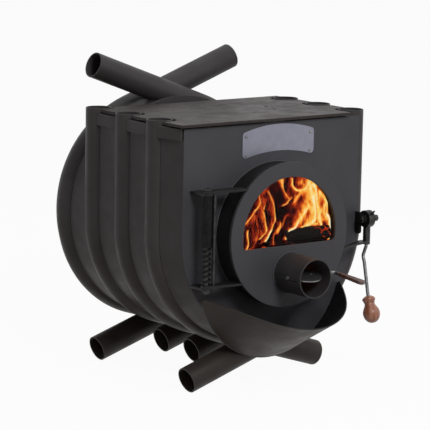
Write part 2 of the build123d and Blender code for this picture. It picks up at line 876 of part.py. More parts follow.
# Plain sleeve on the pin, over the spring
with BuildPart() as hinge_sleeve:
    with BuildSketch(level(sleeve_low)):
        with Locations((hinge_x, hinge_y)):
            Circle(sleeve_r)
            Circle(pin_r + touch, mode=Mode.SUBTRACT)
    extrude(amount=bracket_high - sleeve_low)
hinge_sleeve.part.label = "hinge_sleeve"
export_step(hinge_sleeve.part, "parts/hinge_sleeve.step")

# Upright rod between the door's arms, which the closing spring pushes on
with BuildPart() as hinge_rod:
    with BuildSketch(level(arm_low)):
        with Locations((rod_x, rod_y)):
            Circle(rod_r)
    extrude(amount=arm_high - arm_low)
hinge_rod.part.label = "hinge_rod"
export_step(hinge_rod.part, "parts/hinge_rod.step")

# Closing spring: one wire wound up the pin in half turns
spring_r = pin_r + spring_wire / 2 + spring_clear
spring_low = arm_low + soft_clear + spring_wire / 2
spring_high = sleeve_low - spring_wire / 2
half_turns = 2 * round((spring_high - spring_low) / spring_pitch)
half_rise = (spring_high - spring_low) / half_turns


def coil_point(half):
    turn = math.pi * half
    return Vector(hinge_x + spring_r * math.cos(turn), hinge_y + spring_r * math.sin(turn),
                  bend_z + spring_low + half_rise * half)


def coil_direction(half):
    turn = math.pi * half
    return Vector(-spring_r * math.pi * math.sin(turn), spring_r * math.pi * math.cos(turn), half_rise)


spring_steps = 2 * half_turns
with BuildPart() as hinge_spring:
    with BuildLine() as coil:
        for step in range(spring_steps):
            begin = coil_point(step / 2)
            finish = coil_point(step / 2 + 0.5)
            begin_dir = coil_direction(step / 2).normalized()
            finish_dir = coil_direction(step / 2 + 0.5).normalized()
            span = finish - begin
            lean = begin_dir + finish_dir
            a = 2 * (1 - begin_dir.dot(finish_dir))
            b = 2 * span.dot(lean)
            reach = (-b + math.sqrt(b * b + 4 * a * span.dot(span))) / (2 * a)
            joint = (begin + finish + (begin_dir - finish_dir) * reach) * 0.5
            TangentArc(begin, joint, tangent=begin_dir)
            TangentArc(finish, joint, tangent=finish_dir * -1)
    with BuildSketch(Plane(origin=coil_point(0), z_dir=coil_direction(0))):
        Circle(spring_wire / 2)
    sweep()
hinge_spring.part.label = "hinge_spring"
export_step(hinge_spring.part, "parts/hinge_spring.step")
spring_points = [coil_point(i / 12) for i in range(12 * half_turns + 1)]
spring_gap = min((p - q).length for i, p in enumerate(spring_points) for q in spring_points[i + 12:])
print("least gap of the spring to itself", round(spring_gap - spring_wire, 2))

# Catch arm from the door's edge to beside the latch
with BuildPart() as door_catch:
    with BuildSketch(level(catch_z)):
        with BuildLine():
            Polyline((catch_root_x, door_y + catch_bite), (catch_front_x, door_y + catch_bite),
                     (catch_end_x, catch_end_front), (catch_end_x, catch_end_back),
                     (catch_hook_x, catch_hook_y), (catch_back_x, door_back_y + rim_depth),
                     (catch_root_x, door_back_y + rim_depth), (catch_root_x, door_y + catch_bite))
        make_face()
    extrude(amount=catch_t)
    with BuildSketch(upright(door_y - cut_ahead)):
        Circle(door_r + touch)
    extrude(amount=-cut_depth, mode=Mode.SUBTRACT)
door_catch.part.label = "door_catch"
export_step(door_catch.part, "parts/door_catch.step")

def sideways(x):
    """Upright plane facing right at a distance x, its local axes along Y and Z."""
    return Plane(origin=(x, 0, bend_z), x_dir=(0, 1, 0), z_dir=(1, 0, 0))


# Latch: bracket on the front plate's edge, pivot bolt and nut, hub, barrel, bent rod and grip
with BuildPart() as latch_bracket:
    with BuildSketch(sideways(ear_x)) as ear_sketch:
        with Locations((front_y - ear_deep / 2, ear_mid_z)):
            Rectangle(ear_deep, ear_tall)
        fillet(ear_sketch.vertices().group_by(Axis.Y)[0], radius=ear_round)
        with Locations(((front_y + latch_y) / 2, latch_z)):
            Rectangle(front_y - latch_y, 2 * ear_nose_r)
        with Locations((latch_y, latch_z)):
            Circle(ear_nose_r)
            Circle(latch_bolt_r + touch, mode=Mode.SUBTRACT)
    extrude(amount=ear_t)
latch_bracket.part.label = "latch_bracket"
export_step(latch_bracket.part, "parts/latch_bracket.step")

with BuildPart() as latch_bolt:
    with BuildSketch(sideways(ear_x - pin_tail)):
        with Locations((latch_y, latch_z)):
            Circle(latch_bolt_r)
    extrude(amount=bolt_head_x - ear_x + pin_tail)
    with BuildSketch(sideways(bolt_head_x)):
        with Locations((latch_y, latch_z)):
            RegularPolygon(bolt_head_r, 6)
    extrude(amount=bolt_head_t)
latch_bolt.part.label = "latch_bolt"
export_step(latch_bolt.part, "parts/latch_bolt.step")

with BuildPart() as latch_nut:
    with BuildSketch(sideways(ear_x)):
        with Locations((latch_y, latch_z)):
            RegularPolygon(nut_r, 6)
            Circle(latch_bolt_r + touch, mode=Mode.SUBTRACT)
    extrude(amount=-nut_t)
latch_nut.part.label = "latch_nut"
export_step(latch_nut.part, "parts/latch_nut.step")

peg_plane = Plane(origin=(latch_x, latch_y, bend_z + latch_z), x_dir=(1, 0, 0),
                  z_dir=(0, -math.sin(math.radians(peg_lean)), math.cos(math.radians(peg_lean))))
with BuildPart() as latch_hub:
    with BuildSketch(sideways(hub_x)):
        with Locations((latch_y, latch_z)):
            Circle(hub_r)
            Circle(latch_bolt_r + run_fit, mode=Mode.SUBTRACT)
    extrude(amount=hub_t)
    with BuildSketch(peg_plane.offset(hub_r - peg_bite)):
        Circle(peg_r + touch)
    extrude(amount=2 * peg_bite, mode=Mode.SUBTRACT)
latch_hub.part.label = "latch_hub"
export_step(latch_hub.part, "parts/latch_hub.step")

with BuildPart() as latch_barrel:
    with BuildSketch(level(barrel_low)):
        with Locations((latch_x, latch_y)):
            Circle(barrel_r)
            Circle(handle_r + touch, mode=Mode.SUBTRACT)
    extrude(amount=barrel_top - barrel_low)
    add(latch_hub.part, mode=Mode.SUBTRACT)
latch_barrel.part.label = "latch_barrel"
export_step(latch_barrel.part, "parts/latch_barrel.step")

# Peg that stands out of a hole in the hub's rim
with BuildPart() as latch_pin:
    with BuildSketch(peg_plane.offset(hub_r - peg_bite + touch)):
        Circle(peg_r)
    extrude(amount=peg_tip - hub_r + peg_bite - touch)
latch_pin.part.label = "latch_pin"
export_step(latch_pin.part, "parts/latch_pin.step")

# Bent rod in the plane of the hub, with a swan neck under the barrel
grip_start = Vector(latch_x, grip_y, bend_z + grip_z)
grip_dir = Vector(0, -math.sin(math.radians(grip_lean)), -math.cos(math.radians(grip_lean)))
rod_points = [Vector(latch_x, latch_y, bend_z + handle_top),
              Vector(latch_x, latch_y, bend_z + neck_z),
              Vector(latch_x, latch_y + neck_back, bend_z + neck_back_z),
              Vector(latch_x, latch_y + neck_front, bend_z + neck_front_z),
              grip_start,
              grip_start + grip_dir * handle_end]
with BuildPart() as latch_rod:
    with BuildLine() as rod_path:
        FilletPolyline(*rod_points, radius=handle_bend)
    with BuildSketch(Plane(origin=rod_points[0], z_dir=(0, 0, -1))):
        Circle(handle_r)
    sweep()
latch_rod.part.label = "latch_rod"
export_step(latch_rod.part, "parts/latch_rod.step")

# Beaded ferrule and pear-shaped wooden grip, both turned about the rod's last run
grip_axis = Axis(grip_start, grip_dir)
grip_plane = Plane(origin=grip_start, x_dir=grip_dir, z_dir=(1, 0, 0))
with BuildPart() as latch_ferrule:
    with BuildSketch(grip_plane):
        with BuildLine():
            Spline((0, ferrule_high_r), (ferrule_mid, ferrule_r), (ferrule_low, ferrule_low_r),
                   tangents=((0.6, 1), (1, -0.6)))
            Polyline((ferrule_low, ferrule_low_r), (ferrule_low, handle_r + touch),
                     (0, handle_r + touch), (0, ferrule_high_r))
        make_face()
    revolve(axis=grip_axis)
latch_ferrule.part.label = "latch_ferrule"
export_step(latch_ferrule.part, "parts/latch_ferrule.step")

grip_low = ferrule_low + grip_length
with BuildPart() as latch_grip:
    with BuildSketch(grip_plane):
        with BuildLine():
            Spline((ferrule_low, grip_neck_r), (ferrule_low + grip_waist, grip_waist_r),
                   (ferrule_low + grip_swell, grip_swell_r), (ferrule_low + grip_belly, grip_belly_r),
                   (grip_low, 0), tangents=((1, -0.2), (0, -1)))
            Polyline((grip_low, 0), (handle_end + touch, 0), (handle_end + touch, handle_r + touch),
                     (ferrule_low, handle_r + touch), (ferrule_low, grip_neck_r))
        make_face()
    revolve(axis=grip_axis)
latch_grip.part.label = "latch_grip"
export_step(latch_grip.part, "parts/latch_grip.step")
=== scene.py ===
"""Looks of the workshop stove: camera, light, materials, weld beads, grip, firewood and flames."""

import json
import math

import bpy
import numpy
from mathutils import Matrix, Vector, noise


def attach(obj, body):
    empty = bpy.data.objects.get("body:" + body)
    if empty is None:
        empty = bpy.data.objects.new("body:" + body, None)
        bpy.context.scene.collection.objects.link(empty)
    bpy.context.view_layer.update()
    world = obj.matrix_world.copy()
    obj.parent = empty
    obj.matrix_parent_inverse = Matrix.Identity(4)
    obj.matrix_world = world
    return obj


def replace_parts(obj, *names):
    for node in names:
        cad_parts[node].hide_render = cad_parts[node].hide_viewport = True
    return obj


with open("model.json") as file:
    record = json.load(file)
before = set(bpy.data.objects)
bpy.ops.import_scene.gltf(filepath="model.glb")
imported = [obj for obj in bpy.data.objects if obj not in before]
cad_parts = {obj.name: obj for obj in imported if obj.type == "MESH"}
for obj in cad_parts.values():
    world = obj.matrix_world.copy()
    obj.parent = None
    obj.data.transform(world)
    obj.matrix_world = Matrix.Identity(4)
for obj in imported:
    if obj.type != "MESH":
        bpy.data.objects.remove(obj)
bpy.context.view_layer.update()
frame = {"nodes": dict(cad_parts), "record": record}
nodes = frame["nodes"]

# Main sizes of the stove in millimetres and degrees, with heights over the centre of the tubes' bend
bend_z = 358.924  # this centre over the floor
bend_r = 250.5
tube_r = 30.15
foot_angle = 17.8
outlet_angle = 20.3
first_row_y = -145.0
row_pitch = 61.2
strip_r = 266.0
seam_top = 222.0
front_y = -178.15
door_y = -244.6
collar_r = 159.0
pipe_z = -85.0
pipe_r = 45.0
lip_z = -89.4
lip_seam_r = 203.5
lip_half_angle = 75
grip_start = (259.0, -218.0, -174.0)
grip_lean = 19.885
lever_lean = 80.0


def at(x, y, z):
    """Point in metres, from millimetres with z over the centre of the tubes' bend."""
    return Vector((x, y, z + bend_z)) / 1000


# Camera, at the photograph's angle
eye = Vector((-3.0142, -4.0208, 1.2406))
yaw, pitch, roll = (math.radians(angle) for angle in (36.5815, 9.8615, 1.0518))
ahead = Vector((math.sin(yaw) * math.cos(pitch), math.cos(yaw) * math.cos(pitch), -math.sin(pitch)))
level_right = Vector((math.cos(yaw), -math.sin(yaw), 0))
level_up = level_right.cross(ahead)
right = math.cos(roll) * level_right + math.sin(roll) * level_up
up = math.cos(roll) * level_up - math.sin(roll) * level_right
lens = bpy.data.cameras.new("camera")
lens.sensor_width = 36
lens.lens = 182.58
lens.clip_end = 100
camera = bpy.data.objects.new("camera", lens)
camera.matrix_world = Matrix((
    (right.x, up.x, -ahead.x, eye.x),
    (right.y, up.y, -ahead.y, eye.y),
    (right.z, up.z, -ahead.z, eye.z),
    (0, 0, 0, 1)))
bpy.context.scene.collection.objects.link(camera)
bpy.context.scene.camera = camera
bpy.context.scene.view_settings.view_transform = "Standard"


# Node helpers
class Tree:
    """A material's node tree with short ways to add and link nodes."""

    def __init__(self, name):
        self.material = bpy.data.materials.new(name)
        self.material.use_nodes = True
        self.tree = self.material.node_tree
        self.tree.nodes.clear()
        self.out = self.add("ShaderNodeOutputMaterial")

    def add(self, kind, values=None, **settings):
        node = self.tree.nodes.new(kind)
        for key, value in settings.items():
            setattr(node, key, value)
        for key, value in (values or {}).items():
            if isinstance(value, bpy.types.NodeSocket):
                self.tree.links.new(value, node.inputs[key])
            else:
                node.inputs[key].default_value = value
        return node

    def place(self, scale=(1, 1, 1), turn=(0, 0, 0)):
        where = self.add("ShaderNodeTexCoord").outputs["Object"]
        mapping = self.add("ShaderNodeMapping", {"Vector": where, "Scale": scale, "Rotation": turn})
        return mapping.outputs["Vector"]

    def noise(self, vector, scale, detail=3.0, rough=0.5, distortion=0.0):
        values = {"Vector": vector, "Scale": scale, "Detail": detail, "Roughness": rough,
                  "Distortion": distortion}
        return self.add("ShaderNodeTexNoise", values).outputs["Fac"]

    def ramp(self, fac, stops):
        node = self.add("ShaderNodeValToRGB", {"Fac": fac})
        points = node.color_ramp.elements
        while len(points) < len(stops):
            points.new(0.5)
        for point, (place, colour) in zip(points, stops):
            point.position = place
            point.color = (*colour, 1)
        return node.outputs["Color"]

    def span(self, value, low, high, to_low=0.0, to_high=1.0):
        values = {"Value": value, "From Min": low, "From Max": high, "To Min": to_low, "To Max": to_high}
        return self.add("ShaderNodeMapRange", values).outputs["Result"]

    def math(self, operation, a, b=0.0):
        return self.add("ShaderNodeMath", {0: a, 1: b}, operation=operation).outputs[0]

    def vector(self, operation, a, b=(0, 0, 0)):
        node = self.add("ShaderNodeVectorMath", {0: a, 1: b}, operation=operation)
        return node.outputs["Value" if operation == "DOT_PRODUCT" else "Vector"]

    def mix(self, fac, a, b):
        node = self.add("ShaderNodeMix", data_type="RGBA")
        for socket, value in ((node.inputs[0], fac), (node.inputs[6], a), (node.inputs[7], b)):
            if isinstance(value, bpy.types.NodeSocket):
                self.tree.links.new(value, socket)
            elif isinstance(value, tuple):
                socket.default_value = (*value, 1)
            else:
                socket.default_value = value
        return node.outputs[2]

    def mix_shader(self, fac, a, b):
        return self.add("ShaderNodeMixShader", {0: fac, 1: a, 2: b}).outputs[0]

    def bump(self, height, strength, distance):
        values = {"Height": height, "Strength": strength, "Distance": distance}
        return self.add("ShaderNodeBump", values).outputs["Normal"]

    def edges(self, radius):
        """0 on open faces, towards 1 on edges."""
        rounded = self.add("ShaderNodeBevel", {"Radius": radius}, samples=4).outputs["Normal"]
        plain = self.add("ShaderNodeNewGeometry").outputs["Normal"]
        return self.span(self.vector("DOT_PRODUCT", rounded, plain), 1.0, 0.82)

    def finish(self, shader):
        self.tree.links.new(shader, self.out.inputs["Surface"])
        return self.material


# Materials
# Mask for painted shade: it rises towards the floor, where the floor's warm bounce light and the low shade
# fall.
def near_floor(t, cloud):
    """0 on the upper part of the stove, rising to a most near the floor, with a clouded edge."""
    top, low, most = 0.34, 0.1, 0.85
    place = t.add("ShaderNodeTexCoord").outputs["Object"]
    height = t.add("ShaderNodeSeparateXYZ", {0: place}).outputs["Z"]
    height = t.math("ADD", height, t.span(cloud, 0.3, 0.7, -0.03, 0.03))
    return t.span(height, top, low, 0.0, most)


# Mask for painted shade inside the curve of the ash lip.
def inside_lip(t, cloud):
    """1 on faces that look in towards the centre of the ash lip's curve, 0 on those that look out."""
    place = t.add("ShaderNodeTexCoord").outputs["Object"]
    outward = t.vector("SUBTRACT", place, (0, 0, (bend_z + lip_z) / 1000))
    outward = t.vector("NORMALIZE", t.vector("MULTIPLY", outward, (1, 0, 1)))
    facing = t.vector("DOT_PRODUCT", outward, t.add("ShaderNodeNewGeometry").outputs["Normal"])
    return t.math("ADD", t.span(facing, 0.1, -0.25), t.span(cloud, 0.3, 0.7, -0.12, 0.0))


def paint(name, dark, light, worn, rough=(0.42, 0.6), wear=0.5, sheen=0.22, painted_floor_shade=None, painted_lip_shade=None):
    """Matte heat-proof paint: clouded colour, fine grain, and edges rubbed lighter.

    Its last two colours are painted shade: one darker and warmer towards the floor, where warm light bounces
    from the floor, the other inside the ash lip.
    """
    t = Tree(name)
    where = t.place()
    cloud = t.noise(where, 7, 5, 0.6)
    fine = t.noise(where, 90, 4, 0.6)
    blend = t.math("MULTIPLY", t.math("ADD", cloud, t.math("MULTIPLY", fine, 0.35)), 0.74)
    colour = t.ramp(blend, [(0.3, dark), (0.7, light)])
    rubbed = t.math("MULTIPLY", t.edges(0.0016), t.span(fine, 0.42, 0.62, 0.25, 1.0))
    colour = t.mix(t.math("MULTIPLY", rubbed, wear), colour, worn)
    # Painted shade: darker and warmer towards the floor, standing in for the floor's warm bounce light.
    if painted_floor_shade:
        colour = t.mix(near_floor(t, cloud), colour, painted_floor_shade)
    # Painted shade: near black on the ash lip's inner faces, where shade falls in its curve.
    if painted_lip_shade:
        colour = t.mix(inside_lip(t, cloud), colour, painted_lip_shade)
    body = t.add("ShaderNodeBsdfPrincipled", {
        "Base Color": colour,
        "Roughness": t.span(t.noise(where, 22, 4, 0.6), 0.3, 0.7, rough[0], rough[1]),
        "Specular IOR Level": sheen,
        "Normal": t.bump(t.noise(where, 900, 2, 0.7), 0.25, 0.0004)})
    return t.finish(body.outputs[0])


def steel(name, dark, light, rough=(0.32, 0.5), grain=0.2):
    """Dulled bare steel with darker patches and a fine drawn grain."""
    t = Tree(name)
    where = t.place()
    patch = t.noise(where, 60, 5, 0.65)
    body = t.add("ShaderNodeBsdfPrincipled", {
        "Base Color": t.ramp(patch, [(0.3, dark), (0.7, light)]),
        "Metallic": 0.9,
        "Roughness": t.span(patch, 0.3, 0.7, rough[1], rough[0]),
        "Normal": t.bump(t.noise(where, 700, 2, 0.6), grain, 0.0003)})
    return t.finish(body.outputs[0])


def wood(name, dark, mid, light, turn):
    """Oiled wood, its grain along the piece's local z after the turn."""
    t = Tree(name)
    rings = t.add("ShaderNodeTexWave", {
        "Vector": t.place((1, 1, 0.12), turn), "Scale": 30.0, "Distortion": 5.0, "Detail": 3.0,
        "Detail Scale": 1.6}, wave_type="RINGS", rings_direction="Z")
    pores = t.noise(t.place((1, 1, 0.05), turn), 1500, 2, 0.6)
    figure = t.math("ADD", t.math("MULTIPLY", rings.outputs["Fac"], 0.45), t.math("MULTIPLY", pores, 0.5))
    body = t.add("ShaderNodeBsdfPrincipled", {
        "Base Color": t.ramp(figure, [(0.1, dark), (0.5, mid), (0.95, light)]),
        "Roughness": t.span(pores, 0.3, 0.7, 0.38, 0.5),
        "Coat Weight": 0.35,
        "Coat Roughness": 0.32,
        "Normal": t.bump(pores, 0.15, 0.0003)})
    return t.finish(body.outputs[0])


def rope(name):
    """Braided glass-fibre rope."""
    t = Tree(name)
    strands = t.add("ShaderNodeTexWave", {
        "Vector": t.place(), "Scale": 260.0, "Distortion": 1.5, "Detail": 2.0},
        wave_type="BANDS", bands_direction="DIAGONAL").outputs["Fac"]
    body = t.add("ShaderNodeBsdfPrincipled", {
        "Base Color": t.ramp(strands, [(0.2, (0.22, 0.21, 0.19)), (0.8, (0.5, 0.49, 0.46))]),
        "Roughness": 0.9,
        "Normal": t.bump(strands, 0.6, 0.0008)})
    return t.finish(body.outputs[0])


def glass(name):
    """Clear ceramic glass with a trace of soot, glossy on its outer faces."""
    t = Tree(name)
    haze = t.span(t.noise(t.place(), 14, 4, 0.6), 0.5, 0.85, 0.0, 0.08)
    clear = t.add("ShaderNodeBsdfTransparent", {"Color": (0.97, 0.95, 0.93, 1)}).outputs[0]
    soot = t.add("ShaderNodeBsdfDiffuse", {"Color": (0.02, 0.017, 0.015, 1)}).outputs[0]
    shine = t.add("ShaderNodeBsdfGlossy", {"Color": (1, 1, 1, 1), "Roughness": 0.05}).outputs[0]
    gloss = t.math("MULTIPLY", t.add("ShaderNodeFresnel", {"IOR": 1.45}).outputs[0], 0.16)
    outer = t.math("SUBTRACT", 1.0, t.add("ShaderNodeNewGeometry").outputs["Backfacing"])
    body = t.mix_shader(haze, clear, soot)
    return t.finish(t.mix_shader(t.math("MULTIPLY", gloss, outer), body, shine))


def charred_bark(name):
    """Burnt wood with embers glowing in some of its cracks."""
    t = Tree(name)
    where = t.place()
    cracks = t.add("ShaderNodeTexVoronoi", {"Vector": where, "Scale": 75.0, "Randomness": 1.0},
                   feature="DISTANCE_TO_EDGE").outputs["Distance"]
    patch = t.span(t.noise(where, 16, 3), 0.52, 0.68)
    glow = t.math("MULTIPLY", t.span(cracks, 0.07, 0.0), patch)
    bark = t.noise(where, 120, 5, 0.7)
    embers = [(0.0, (0.0, 0.0, 0.0)), (0.3, (0.5, 0.03, 0.0)), (1.0, (1.0, 0.35, 0.06))]
    body = t.add("ShaderNodeBsdfPrincipled", {
        "Base Color": t.ramp(bark, [(0.3, (0.0012, 0.001, 0.001)), (0.75, (0.006, 0.0045, 0.004))]),
        "Roughness": 0.85,
        "Specular IOR Level": 0.1,
        "Emission Color": t.ramp(glow, embers),
        "Emission Strength": 1.6,
        "Normal": t.bump(cracks, 0.8, 0.003)})
    return t.finish(body.outputs[0])


def fire(name, attribute):
    """Flames, coloured by the warmth that the mesh carries, with fine veins where they are warm."""
    t = Tree(name)
    warmth = t.add("ShaderNodeAttribute", attribute_name=attribute).outputs["Fac"]
    grain = t.noise(t.place((1, 1, 0.4)), 320, 4, 0.65, 1.2)
    warmth = t.math("ADD", warmth, t.span(grain, 0.3, 0.7, -0.07, 0.07))
    strands = t.noise(t.place((1, 1, 0.33), (0, 0.35, 0)), 95, 3, 0.6, 2.2)
    veins = t.span(t.math("ABSOLUTE", t.math("SUBTRACT", strands, 0.5)), 0.0, 0.045, 0.17, -0.05)
    warmth = t.math("ADD", warmth, t.math("MULTIPLY", veins, t.span(warmth, 0.12, 0.4)))
    colour = t.ramp(t.math("MULTIPLY", warmth, 0.8), [
        (0.06, (0.0012, 0.0004, 0.0005)), (0.2, (0.022, 0.0014, 0.0012)), (0.34, (0.17, 0.007, 0.003)),
        (0.47, (0.6, 0.05, 0.008)), (0.57, (0.92, 0.23, 0.018)), (0.68, (1.0, 0.5, 0.06)),
        (0.8, (1.0, 0.72, 0.17)), (0.96, (1.0, 0.93, 0.7))])
    return t.finish(t.add("ShaderNodeEmission", {"Color": colour, "Strength": 1.0}).outputs[0])


# Body and lip paints carry painted shade, darker and warmer towards the floor.
body_paint = paint("body_paint", (0.034, 0.031, 0.031), (0.05, 0.046, 0.046), (0.12, 0.112, 0.105),
                   painted_floor_shade=(0.027, 0.02, 0.016))
# The lip paint also carries painted shade inside the lip.
lip_paint = paint("lip_paint", (0.036, 0.031, 0.029), (0.052, 0.045, 0.042), (0.12, 0.112, 0.105),
                  painted_floor_shade=(0.034, 0.023, 0.018), painted_lip_shade=(0.0025, 0.002, 0.0018))
pipe_paint = paint("pipe_paint", (0.027, 0.0255, 0.027), (0.04, 0.038, 0.04), (0.12, 0.112, 0.108))
# Painted light: a lighter, bluer copy of the body paint, for the light that falls on the front plate and the
# door.
lit_front_paint = paint("lit_front_paint", (0.052, 0.051, 0.058), (0.066, 0.065, 0.073), (0.13, 0.125, 0.12))
seam_paint = paint("seam_paint", (0.05, 0.049, 0.052), (0.09, 0.088, 0.09), (0.16, 0.155, 0.15))
fitting_paint = paint("fitting_paint", (0.007, 0.0065, 0.0065), (0.014, 0.0125, 0.0125),
                      (0.07, 0.064, 0.06), rough=(0.35, 0.5), wear=0.7)
cook_paint = paint("cook_paint", (0.026, 0.0215, 0.021), (0.042, 0.035, 0.034), (0.15, 0.13, 0.125),
                   wear=0.8, sheen=0.16)
bare_steel = steel("bare_steel", (0.1, 0.1, 0.1), (0.3, 0.3, 0.3))
dark_steel = steel("dark_steel", (0.02, 0.02, 0.02), (0.06, 0.058, 0.056), rough=(0.35, 0.55))
black_steel = steel("black_steel", (0.004, 0.004, 0.004), (0.016, 0.015, 0.015), rough=(0.4, 0.6))
plate_metal = steel("plate_metal", (0.2, 0.2, 0.245), (0.225, 0.225, 0.272), rough=(0.38, 0.44),
                    grain=0.05)
grip_wood = wood("grip_wood", (0.2, 0.066, 0.034), (0.36, 0.135, 0.075), (0.5, 0.23, 0.145),
                 turn=(math.radians(grip_lean), 0, 0))
lever_wood = wood("lever_wood", (0.045, 0.018, 0.012), (0.085, 0.034, 0.024), (0.12, 0.055, 0.04),
                  turn=(math.radians(lever_lean), 0, 0))

slot_material = {
    "anthracite_paint": body_paint, "plate_paint": cook_paint, "bare_steel": bare_steel,
    "plate_metal": plate_metal, "turned_wood": grip_wood, "seal_rope": rope("seal_rope"),
    "stove_glass": glass("stove_glass")}
own_material = {"ash_lip": lip_paint, "air_pipe": pipe_paint, "butterfly_lever": lever_wood}
for material, names in (
        (lit_front_paint, ("front_plate", "door_disc")),
        (fitting_paint, ("hinge_arm_upper", "hinge_arm_lower", "hinge_bracket_upper",
                         "hinge_bracket_lower", "latch_bracket", "door_catch", "door_collar")),
        (dark_steel, ("hinge_rod", "hinge_pin", "hinge_nut", "latch_hub", "latch_bolt", "latch_nut",
                      "latch_barrel", "latch_pin")),
        (black_steel, ("hinge_spring", "hinge_sleeve"))):
    own_material.update(dict.fromkeys(names, material))
slot_of = {row["node"]: row["material_slot"] for row in frame["record"]["subparts"]}


# Rounded edges on every rigid piece
def join_faces():
    """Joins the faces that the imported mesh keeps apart, so that its edges can be rounded."""
    tree = bpy.data.node_groups.new("join_faces", "GeometryNodeTree")
    for way in ("INPUT", "OUTPUT"):
        tree.interface.new_socket("Geometry", in_out=way, socket_type="NodeSocketGeometry")
    last = tree.nodes.new("NodeGroupInput").outputs[0]
    for attribute in ("custom_normal", "sharp_edge"):
        drop = tree.nodes.new("GeometryNodeRemoveAttribute")
        drop.inputs["Name"].default_value = attribute
        tree.links.new(last, drop.inputs["Geometry"])
        last = drop.outputs["Geometry"]
    merge = tree.nodes.new("GeometryNodeMergeByDistance")
    merge.inputs["Distance"].default_value = 5e-6
    tree.links.new(last, merge.inputs["Geometry"])
    smooth = tree.nodes.new("GeometryNodeSetShadeSmooth")
    tree.links.new(merge.outputs["Geometry"], smooth.inputs["Geometry"])
    tree.links.new(smooth.outputs["Geometry"], tree.nodes.new("NodeGroupOutput").inputs[0])
    return tree


def round_edges(obj, width):
    obj.modifiers.new("join", "NODES").node_group = joined
    bevel = obj.modifiers.new("bevel", "BEVEL")
    bevel.width = width / 1000
    bevel.segments = 2
    bevel.limit_method = "ANGLE"
    bevel.angle_limit = math.radians(38)
    obj.modifiers.new("normals", "WEIGHTED_NORMAL").keep_sharp = False


joined = join_faces()
usual_edge, wide_edge, fine_edge = 0.6, 0.9, 0.25
edge_width = dict.fromkeys(("front_plate", "back_plate", "cook_plate", "air_pipe", "door_disc"), wide_edge)
edge_width.update(dict.fromkeys(("nameplate_rivets", "frame_screws", "butterfly_screws", "hinge_spring",
                                 "cook_lid", "latch_pin"), fine_edge))
for name, obj in nodes.items():
    obj.data.materials.clear()
    obj.data.materials.append(own_material.get(name, slot_material[slot_of[name]]))
    round_edges(obj, edge_width.get(name, usual_edge))


# Pieces made in mesh
def new_piece(name, verts, faces, body, material):
    mesh = bpy.data.meshes.new(name)
    mesh.from_pydata([tuple(v) for v in verts], [], faces)
    mesh.materials.append(material)
    mesh.polygons.foreach_set("use_smooth", [True] * len(mesh.polygons))
    mesh.update()
    obj = bpy.data.objects.new(name, mesh)
    bpy.context.scene.collection.objects.link(obj)
    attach(obj, body)
    return obj


def skin(rings, sides):
    """Faces between the rings of a tube, whose points follow one another ring by ring."""
    faces = []
    for i in range(rings - 1):
        for k in range(sides):
            j = (k + 1) % sides
            faces.append((i * sides + k, i * sides + j, (i + 1) * sides + j, (i + 1) * sides + k))
    return faces


def end_caps(rings, sides):
    """Flat faces on the first and the last ring of a tube."""
    last = (rings - 1) * sides
    return [tuple(range(sides))[::-1], tuple(last + k for k in range(sides))]


def round_turns(sides):
    """Cosine and sine of equal turns round a circle."""
    return [(math.cos(k * math.tau / sides), math.sin(k * math.tau / sides)) for k in range(sides)]


def along(points, step):
    """Points every step along a line of points."""
    out = [points[0]]
    left = step
    for a, b in zip(points, points[1:]):
        gap = (b - a).length
        while gap >= left > 0:
            a = a + (b - a) * (left / gap)
            gap = (b - a).length
            out.append(a)
            left = step
        left -= gap
    return out


def bead(name, points, radius, body="stove", closed=False, material=body_paint):
    """Weld bead along a line of points: a thin tube with the scales that welding leaves."""
    sides = 7
    spacing, ripple, uneven = 0.55, 0.22, 0.12
    line = along(points + (points[:1] if closed else []), radius * spacing)
    verts = []
    for i, p in enumerate(line):
        course = (line[min(i + 1, len(line) - 1)] - line[max(i - 1, 0)]).normalized()
        side = course.cross(Vector((0.31, 0.22, 0.93)))
        if side.length < 0.2:
            side = course.cross(Vector((1, 0, 0)))
        side.normalize()
        top = course.cross(side)
        scale = 1 + ripple * math.cos(i * math.tau / 4) + uneven * noise.noise(p * 90)
        if not closed:
            scale *= min(1, 0.35 + 0.35 * min(i, len(line) - 1 - i))
        for cos, sin in round_turns(sides):
            verts.append(p + (side * cos + top * sin) * radius * scale)
    faces = skin(len(line), sides) + end_caps(len(line), sides)
    return new_piece(name, verts, faces, body, material)


def ring(z, radius, y, start=0, end=360, count=96):
    """Points round a circle that faces the front, its centre in the middle at height z."""
    turns = [math.radians(start + (end - start) * i / count) for i in range(count + 1)]
    return [at(radius * math.cos(t), y, z + radius * math.sin(t)) for t in turns]


# Weld seams on the front and the door, with the radii of all the beads in metres
lip_bead, ring_bead, wall_bead = 0.0024, 0.002, 0.0019
lip_ahead = 0.5
weld_ahead = 0.6
weld_out = 0.8
lip_line = ring(lip_z, lip_seam_r, front_y - lip_ahead, 270 - lip_half_angle, 270 + lip_half_angle, 160)
bead("weld_lip_inside", lip_line, lip_bead, material=seam_paint)
# The pipe and collar welds take the same painted light as the front.
bead("weld_pipe", ring(pipe_z, pipe_r + weld_out, door_y - weld_ahead), ring_bead, "door", closed=True,
     material=lit_front_paint)
bead("weld_collar", ring(0, collar_r + weld_out, front_y - weld_ahead), ring_bead, closed=True,
     material=lit_front_paint)

# Weld seams between the tubes and the sheets of the walls
strip_edge = math.sqrt(tube_r ** 2 - (strip_r - bend_r) ** 2)
down_steps, bend_steps = 20, 120


def sheet_end(lean):
    """Angle at which a sheet ends against the tube that leaves the bend with this lean."""
    return lean + math.degrees(math.asin((bend_r - tube_r) / strip_r))


def row_y(side, row):
    """Depth of a side's tube, counted from the front: the left side's tubes stand one pitch further back."""
    return first_row_y + (2 * (row - 1) + (0 if side > 0 else 1)) * row_pitch


